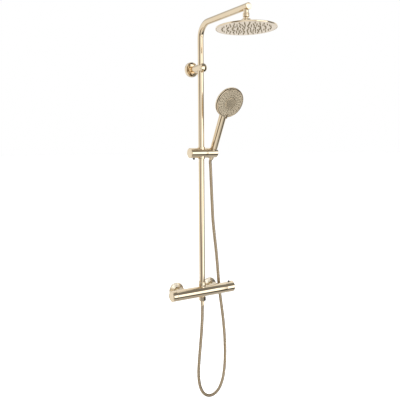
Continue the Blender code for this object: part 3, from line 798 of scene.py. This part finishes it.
put(turned("swivel_ball_joint",
           [(4, 20.35), (10.6, 20.35, 0.5), (10.6, 24.0, 0.1), (10.2, 24.4, 0.1),
            (10.2, 25.0, 0.1), (10.6, 25.4, 0.1), (10.6, 32.4, 0.7), (9.4, 33.4, 0.5),
            (6, 33.6, 0.4)] + ball_arc(33.1, 158.6, 24, BALL_R),
           GOLD, BALL, 96, 0.3, h0=BALL_T, steps=4), "column", "swivel_ball")
put(turned("swivel_nut_shell",
           [(10.6, 38.0, 0.4), (13.2, 38.0, 1.2), (16.7, 41.0, 2.2), (18.5, 45.0, 1.8),
            (18.5, 52.6, 0.1), (18.0, 53.1, 0.1), (18.0, 53.7, 0.1), (18.5, 54.2, 0.1),
            (18.5, 60.3, 0.7), (15.7, 60.3, 0.2), (15.7, 48.2, 0), (11.5, 48.2, 0),
            (11.1, 44.6, 0), (10.1, 41.0, 0.2)], GOLD, BALL, 96, 0.3, h0=BALL_T, steps=5),
    "swivel_nut", "swivel_collar_nut")
put(turned("swivel_seat",
           [(rho * math.cos(math.radians(b)), BALL_T + rho * math.sin(math.radians(b)), 0)
            for rho, angles in ((11.35, range(26, 55, 2)), (12.25, range(54, 25, -2)))
            for b in angles], NYLON, BALL, 72, 0.0, h0=BALL_T), "swivel_seat", "swivel_seat_ring")
put(turned("rain_head_body",
           [(8.5, 56.6, 0.2), (15.2, 56.6, 0.3), (15.2, 60.4, 0.6), (20.5, 61.0, 1.2),
            (60, 61.5, 0), (80, 62.0, 0), (95.5, 62.9, 3.0), (99.3, 64.2, 1.2), (HEAD_R, 65.6, 0.8),
            (HEAD_R, 68.4, 0.5), (99.4, 69.0, 0.3), (98.3, 69.0, 0.15), (98.3, 65.2, 0.2),
            (60, 63.6, 0), (20, 63.1, 0), (5, 63.1, 0.2), (5, 59.6, 0.2), (8.5, 59.6, 0.2)],
           GOLD, BALL, 192, 0.3, h0=BALL_T, steps=5), "rain_head", "rain_head_shell")
RAIN = spokes([(30, 0.0, (79.0, 62.5, 46.0)), (15, 0.0, (29.5,)), (6, 0.5, (13.0,))])
put(panel("rain_head_plate", 97.6, 0, 67.7 - BALL_T, 69.0 - BALL_T, RAIN,
          [(2.75, 69.0 - BALL_T), (2.5, 68.8 - BALL_T), (2.5, 67.7 - BALL_T)], True, ROSE, BALL,
          n_outer=192), "rain_head", "rain_head_face_plate")
put(panel("rain_head_nozzles", 97.4, 0, 65.7 - BALL_T, 67.3 - BALL_T, RAIN,
          [(2.0, 67.3 - BALL_T), (1.6, 71.0 - BALL_T), (1.3, 72.0 - BALL_T),
           (0.7, 72.0 - BALL_T), (0.6, 71.2 - BALL_T)], False, SILICONE, BALL,
          n_outer=120), "rain_head", "rain_head_nozzle_mat")

# -------------------------------------------------------------------- slider
SL = along_x(Z_SLIDER)
SZ = upright(0, YC, Z_SLIDER)
for up_dn, a, b in (("upper", 6, 21.8), ("lower", -21.8, -6)):
    put(turned(f"{up_dn}_glide_bush", [(11.35, a), (13.6, a), (13.6, b), (11.35, b)],
               GOLD, SZ, 96, 0.7), "carriage", f"slider_{up_dn}_bush")
sb = turned("slider_barrel",
            [(0, 15.0), (4.4, 15.0, 0), (4.4, SLIDER_SEAM, 0.2), (SLIDER_R, SLIDER_SEAM, 0.5),
             (SLIDER_R, SLIDER_L, 0.4), (13, SLIDER_L, 0.2), (13, -21, 0), (5.4, -21, 0),
             (5.4, -9, 0), (0, -9)], GOLD, SL, 128, 0.3)
boolean(sb, rod("slider_bore", 13.95, -25, 25, SZ, 72))
BTN_X = -33.0
SB = upright(BTN_X, YC, Z_SLIDER)
boolean(sb, rod("button_bore", 4.4, -25, -9, SB, 32))
put(sb, "slider", "slider_body")
put(turned("slider_left_cap",
           [(0, -44.2), (12.6, -44.2), (12.6, -48.95, 0), (SLIDER_R, -48.95, 0.2),
            (SLIDER_R, -50.2, 0.6), (17.2, -51.0, 0.5), (0, -51.0)], GOLD, SL, 128, 0.3,
           steps=4), "slider", "slider_end_cap")
put(turned("brake_pad", [(0, -28.6), (5, -28.6), (5, -11.5), (0, -11.5)], RUBBER_AND_SHADOW, SL, 40, 0.5),
    "slider", "slider_brake_pad")
put(turned("release_stud",
           [(0, -24.2), (3.2, -24.2, 0.8), (4, -23.2, 0.5), (4, -11.5, 0), (5.2, -11.5, 0.2),
            (5.2, -10.2, 0.3), (0, -10.2)], NYLON, SB, 40, 0.4, steps=4),
    "release", "slider_release_button")
put(turned("pivot_pin", [(0, 15.4), (4.0, 15.4), (4.0, 30.5), (0, 30.5)], STEEL, SL, 40, 0.6),
    "slider", "holder_pivot_pin")

hold = turned("holder_barrel",
              [(0, 31), (4.4, 31, 0), (4.4, 18.8, 0.2), (SLIDER_R, 18.8, 0.5),
               (SLIDER_R, 63.2, 1.1), (16.8, HOLDER_R, 0.6), (0, HOLDER_R)], GOLD, SL, 128,
              0.3, steps=4)


def cone(z, gap=0.0):
    return 10.0 + (z + 20.0) * (12.4 - 10.0) / 38.8 + gap


boolean(hold, turned("holder_cone",
                     [(0, -30), (cone(-30, 0.35), -30, 0), (cone(30, 0.35), 30, 0),
                      (0, 30)], None, HS, 72))
boolean(hold, block("holder_slot", (4, -7, -32), (20, 7, 32), HS))
put(hold, "holder", "handset_holder")

put(turned("hose_cone",
           [(6.5, -27), (8.2, -27, 0.5), (8.9, -25.8, 0.2), (9.2, -24.0, 0.1), (8.9, -23.7, 0.1),
            (8.9, -23.1, 0.1), (9.4, -22.8, 0.1), (cone(-20), -20, 0.3),
            (cone(18.8), 18.8, 0.5), (10.0, 18.8, 0.2), (10.0, 4.2, 0), (6.5, 4.2, 0)],
           GOLD, HS, 96, 0.3), "hose_end", "hose_cone_nut")
put(turned("handset_seal", [(4.6, 4.6), (9.5, 4.6), (9.5, 6.4), (4.6, 6.4)], RUBBER_AND_SHADOW, HS, 48,
           0.4), "hose_end", "handset_washer")

# ------------------------------------------------------------------- handset
FACE = shift(HS, 0, 0, SPRAY_Z) @ Matrix.Rotation(math.radians(90), 4, "X")
hb = turned("handset_shell",
            [(0, 6.8), (9.6, 6.8, 0), (9.6, 20.2, 0), (12.9, 20.2, 0.5), (HANDLE_R, 21.6, 0.5),
             (HANDLE_R, 60, 0), (HANDLE_R, 100, 0), (HANDLE_R, 140, 0), (HANDLE_R, 158, 8),
             (12.6, 172, 10), (10.2, 184, 8), (6, 193, 5), (0, 196)],
            PLASTIC_GOLD, HS, 96, 0.3, steps=5)
boolean(hb, turned("head_cup",
                   [(0, -11), (15, -9.6, 8), (30, -5.6, 8), (43, 0.6, 8), (51, 6.0, 5),
                    (54.4, 9.4, 2.2), (SPRAY_R, 12.0, 1.0), (SPRAY_R, 16.0, 0.5),
                    (52.8, 16.0, 0), (52.8, 11.2, 0), (46, 5.6, 0), (0, 4.4)], None, FACE,
                   160, 0.3, steps=5), "UNION")
boolean(hb, turned("head_cavity",
                   [(0, 4.4), (46, 5.6, 0), (52.8, 11.4, 0), (52.8, 30, 0), (0, 30)],
                   None, FACE @ Matrix.Rotation(0.02, 4, "Z"), 160))
boolean(hb, rod("handset_way", 6.0, 0, 190, HS, 40))
put(hb, "handset", "handset_body")
put(turned("diverter_disc",
           [(8.6, 7.6), (44, 7.6), (49.6, 12.4), (49.6, 15.4), (8.6, 15.4)], WHITE, FACE, 72,
           0.4), "selector", "handset_diverter_disc")
HAND = spokes([(24, 0.5, (44.0, 36.5, 29.0)), (24, 0.0, (23.0,))])
put(panel("spray_nozzles", 49.6, 8.2, 15.9, 17.9, HAND,
          [(1.35, 17.9), (1.25, 22.9), (1.05, 23.3), (0.5, 23.3), (0.45, 22.8)], False,
          NUBS, FACE, n_outer=96, n_spot=12), "handset", "handset_nozzle_mat")
put(panel("spray_plate", 49.8, 8.2, 18.4, 22.6, HAND,
          [(2.0, 22.6), (1.6, 22.2), (1.6, 18.4)], True, FACE_GOLD, FACE, n_outer=144,
          n_spot=12, edge=0.6), "handset", "handset_spray_plate")
put(turned("centre_button_cap",
           [(0, 17), (7.8, 17, 0.2), (7.8, 23.0, 0), (18.6, 23.0, 0.1), (18.6, 23.6, 0.4),
            (17.4, 24.4, 0.5), (16.6, 24.4, 0.3), (16.2, 23.9, 0.2), (12.0, 23.7, 3.0),
            (0, 23.4)], BRONZE, FACE, 120, 0.3, steps=4),
    "handset", "handset_centre_cap")
ring_ob = turned("selector_bezel",
                 [(50.4, 16.4, 0.1), (51.9, 16.4, 0.1), (51.9, 20.2, 0.1), (54.2, 20.2, 0.3),
                  (54.7, 20.8, 0.3), (54.6, 21.9, 0.5), (53.0, 23.4, 0.6),
                  (51.2, 23.5, 0.4), (50.4, 22.9, 0.2)], GOLD, FACE, 160, 0.3, steps=4)
bm = bmesh.new()
tab_pts = [(-3.8, -59.0), (3.8, -59.0), (3.5, -53.0), (1.1, -42.0), (-1.1, -42.0), (-3.5, -53.0)]
lo_v = [bm.verts.new((x * MM, y * MM, (22.6 if abs(y) > 50 else 23.7) * MM)) for x, y in tab_pts]
hi_v = [bm.verts.new((x * MM * 0.2, (y * 0.985) * MM, (26.4 if abs(y) > 50 else 24.9) * MM))
        for x, y in tab_pts]
for k in range(6):
    j = (k + 1) % 6
    bm.faces.new((lo_v[k], lo_v[j], hi_v[j], hi_v[k]))
bm.faces.new(lo_v[::-1])
bm.faces.new(hi_v)
bmesh.ops.bevel(bm, geom=list(bm.edges), offset=0.18 * MM, segments=3, affect="EDGES", profile=0.5)
boolean(ring_ob, to_object("tab", bm, None, FACE), "UNION")
put(ring_ob, "selector", "handset_selector_ring")
# painted shadow: a thin ring in the dark rubber finish set in the groove between the selector bezel and
# the shell, standing for the shade in that gap
put(turned("selector_shadow_ring", [(51.95, 16.2), (52.6, 16.2), (52.6, 20.0), (51.95, 20.0)],
           RUBBER_AND_SHADOW, FACE, 144, 0.05), "selector", None)
put(turned("centre_cap_rim", [(18.75, 22.7), (19.9, 22.7), (19.9, 23.3, 0.25), (19.4, 23.8, 0.3),
                              (18.75, 23.7, 0.2)], GOLD, FACE, 144, 0.2, steps=4),
    "handset", None)

# ---------------------------------------------------------------- hose ends
vn = turned("hose_hex_nut",
            [(9.35, -20.95, 0.1), (11.6, -20.95, 0.2), (13.1, -22.0, 0.4), (13.1, -34.0, 0.4),
             (11.6, -35.2, 0.3), (7.75, -35.2, 0.2), (7.75, -33.6, 0), (9.35, -33.6, 0)],
            GOLD, UP, 96, 0.3)
boolean(vn, hexagon("outlet_hex", 22.6, -40, -15, UP, rot=0.35), "INTERSECT")
put(vn, "column", "hose_valve_nut")
put(turned("outlet_washer", [(5.2, -29.3), (9.0, -29.3), (9.0, -31.2), (5.2, -31.2)],
           RUBBER_AND_SHADOW, UP, 48, 0.4), "column", "hose_valve_washer")
put(turned("hose_ferrule",
           [(4.5, -31.6), (9.0, -31.6), (9.0, -33.3, 0), (7.4, -33.3, 0), (7.4, -36.4, 0.2),
            (7.0, -36.8, 0.2), (7.0, -37.6, 0.2), (7.4, -38.0, 0.2), (7.4, -53.2, 0.8),
            (6.6, -55.0, 0.5), (4.5, -55.0)], GOLD, UP, 72, 0.3),
    "column", "hose_lower_ferrule")


# ------------------------------------------------------------------- springs
def helix(r, h_a, h_b, turns, place):
    n = int(turns * 40)
    return [place @ (Vector((r * math.cos(2 * math.pi * i / 40), r * math.sin(2 * math.pi * i / 40),
                             h_a + (h_b - h_a) * i / n)) * MM) for i in range(n + 1)]


for nm, pl, r, a, b, t, w, bd, nd, press, far, keep in (
        ("override_coil", upright(121.5, YC, 0), 2.8, 7.9, 12.2, 2.5, 0.4,
         "temperature_control", "override_spring", "override_press", 7.4, 0.5),
        ("release_coil", SB, 2.9, -9.4, 11.2, 4.0, 0.45, "slider", "slider_button_spring",
         "release_press", 11.8, 0.82)):
    pts = helix(r, a, b, t, pl)
    coil = sweep(nm, pts, [w * MM] * len(pts), 14, STEEL, up=Vector((0, 0, 1)))
    put(coil, bd, nd)
    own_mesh(coil)

# every CAD node still shown gets its finish too
SLOT_MATS = {"champagne_gold": GOLD, "gold_tube": TUBE, "gold_sheet": SHEET, "rose_face": ROSE,
             "gold_plated_plastic": PLASTIC_GOLD, "raw_brass": BRASS, "steel": STEEL,
             "rubber": RUBBER_AND_SHADOW, "dark_nylon": NYLON, "white_acetal": WHITE,
             "silicone": SILICONE, "hose_gold": HOSE}
node_slot = {}
for mrec in frame["record"].get("materials", []):
    for nd in mrec.get("nodes", []):
        node_slot[nd] = mrec.get("slot")
for nm, ob in frame["nodes"].items():
    if not ob.hide_render:
        mt = SLOT_MATS.get(node_slot.get(nm), GOLD)
        if ob.material_slots:
            for s_ in ob.material_slots:
                s_.material = mt
        else:
            ob.data.materials.append(mt)

# ---------------------------------------------------------- floor and lights
fm, fnt, fb, ftc = nodes_of("floor_paper")
fn = noise(fnt, ftc, 3.0, 2.0)
fr_ = ramp(fnt, fn.outputs["Fac"], [(0.3, (0.95, 0.95, 0.95)), (0.7, (0.965, 0.965, 0.965))])
fnt.links.new(fr_.outputs["Color"], fb.inputs["Base Color"])
fb.inputs["Roughness"].default_value = 0.95
fb.inputs["Specular IOR Level"].default_value = 0.1
fb.inputs["Emission Color"].default_value = (1, 1, 1, 1)
fb.inputs["Emission Strength"].default_value = 0.42
bm = bmesh.new()
bmesh.ops.create_circle(bm, cap_ends=True, radius=60.0, segments=96)
floor = to_object("floor", bm, fm, Matrix.Translation((0, 0, -0.95)))
floor.visible_glossy = False


top = bpy.data.lights.new("overhead", "AREA")
top.shape = "RECTANGLE"
top.size, top.size_y = 4.0, 4.0
top.energy = 150.0
top_ob = bpy.data.objects.new("overhead", top)
sc.collection.objects.link(top_ob)
top_ob.location = (0.0, -1.0, 3.2)
top_ob.visible_glossy = False
top_ob.visible_camera = False

# world: white studio for the lens; for reflections a tall white cyclorama that
# falls off to the floor, with two dark flags beside the lens
w = bpy.data.worlds.new("studio")
sc.world = w
w.use_nodes = True
nt = w.node_tree
nt.nodes.clear()
L = nt.links.new


def math_node(op, a, b=None, clamp=False):
    n = nt.nodes.new("ShaderNodeMath")
    n.operation = op
    n.use_clamp = clamp
    for i, v in enumerate((a, b)):
        if v is None:
            continue
        if isinstance(v, (int, float)):
            n.inputs[i].default_value = v
        else:
            L(v, n.inputs[i])
    return n.outputs[0]


def smooth(v, lo, hi, a=0.0, b=1.0):
    n = nt.nodes.new("ShaderNodeMapRange")
    n.interpolation_type = "SMOOTHSTEP"
    n.inputs["From Min"].default_value = lo
    n.inputs["From Max"].default_value = hi
    n.inputs["To Min"].default_value = a
    n.inputs["To Max"].default_value = b
    L(v, n.inputs["Value"])
    return n.outputs["Result"]


tc = nt.nodes.new("ShaderNodeTexCoord")
sep = nt.nodes.new("ShaderNodeSeparateXYZ")
L(tc.outputs["Generated"], sep.inputs[0])
X, Y, Z = sep.outputs
# azimuth about the column, 0 towards the lens and positive to its right
fx, fy = 0.5475, 0.8368
front = math_node("ADD", math_node("MULTIPLY", X, -fx), math_node("MULTIPLY", Y, -fy))
right = math_node("ADD", math_node("MULTIPLY", X, fy), math_node("MULTIPLY", Y, -fx))
phi = math_node("MULTIPLY", math_node("ARCTAN2", right, front), 180 / math.pi)
elev = math_node("MULTIPLY", math_node("ARCSINE", Z), 180 / math.pi)


def window(v, a, b, c, d):
    return math_node("MULTIPLY", smooth(v, a, b), smooth(v, c, d, 1.0, 0.0))


def less(v, by, how_much):
    return math_node("MULTIPLY", v, math_node("SUBTRACT", 1.0,
                                              math_node("MULTIPLY", by, how_much)))


# the sweep: darker low down on the right, a little darker low down behind
turn = math_node("ABSOLUTE", phi)
low = less(less(smooth(elev, -90.0, 90.0, 1.04, 1.04), window(phi, -5, 60, 118, 150), 0.50),
           smooth(turn, 118, 150), 0.30)
up_part = smooth(elev, -42.0, -4.0)
base = math_node("ADD", math_node("MULTIPLY", low, math_node("SUBTRACT", 1.0, up_part)),
                 math_node("MULTIPLY", up_part, 1.05))
# and the upper back corner on the left
base = less(base, math_node("MULTIPLY", window(phi, -179, -168, -128, -112),
                            smooth(elev, 8.0, 26.0)), 0.36)

flag_a = window(phi, -68, -54, -42, -20)
flag_b = math_node("MULTIPLY", window(phi, 24, 36, 112, 128), smooth(elev, -44.0, -36.0))
flag_b = math_node("MULTIPLY", flag_b, smooth(elev, 60.0, 68.0, 1.0, 0.0))
flag_c = math_node("MULTIPLY", window(phi, -40, -24, -6, 14), window(elev, -32, -18, -11, -5))
level = less(less(base, flag_a, smooth(elev, -40.0, -26.0, 0.30, 0.90)), flag_b,
             smooth(elev, 6.5, 9.0, 0.91, 0.76))
level = less(level, flag_c, 0.6)
# one tall bright window to the right of the lens, seen only in the metal
key = math_node("MULTIPLY", window(phi, 27, 37, 74, 84), window(elev, -24.0, -14.0, 17.0, 21.0))
level = math_node("ADD", less(level, key, 1.0), math_node("MULTIPLY", key, 2.1))
mix = nt.nodes.new("ShaderNodeMix")
mix.data_type = "RGBA"
mix.inputs["A"].default_value = (0.98, 1.0, 1.02, 1)
mix.inputs["B"].default_value = (1.0, 0.86, 0.72, 1)
L(flag_a, mix.inputs["Factor"])
bg = nt.nodes.new("ShaderNodeBackground")
L(mix.outputs["Result"], bg.inputs["Color"])
L(level, bg.inputs["Strength"])
white = nt.nodes.new("ShaderNodeBackground")
white.inputs["Color"].default_value = (1, 1, 1, 1)
white.inputs["Strength"].default_value = 1.0
lp = nt.nodes.new("ShaderNodeLightPath")
ms = nt.nodes.new("ShaderNodeMixShader")
L(lp.outputs["Is Camera Ray"], ms.inputs["Fac"])
L(bg.outputs["Background"], ms.inputs[1])
L(white.outputs["Background"], ms.inputs[2])
wo = nt.nodes.new("ShaderNodeOutputWorld")
L(ms.outputs["Shader"], wo.inputs["Surface"])
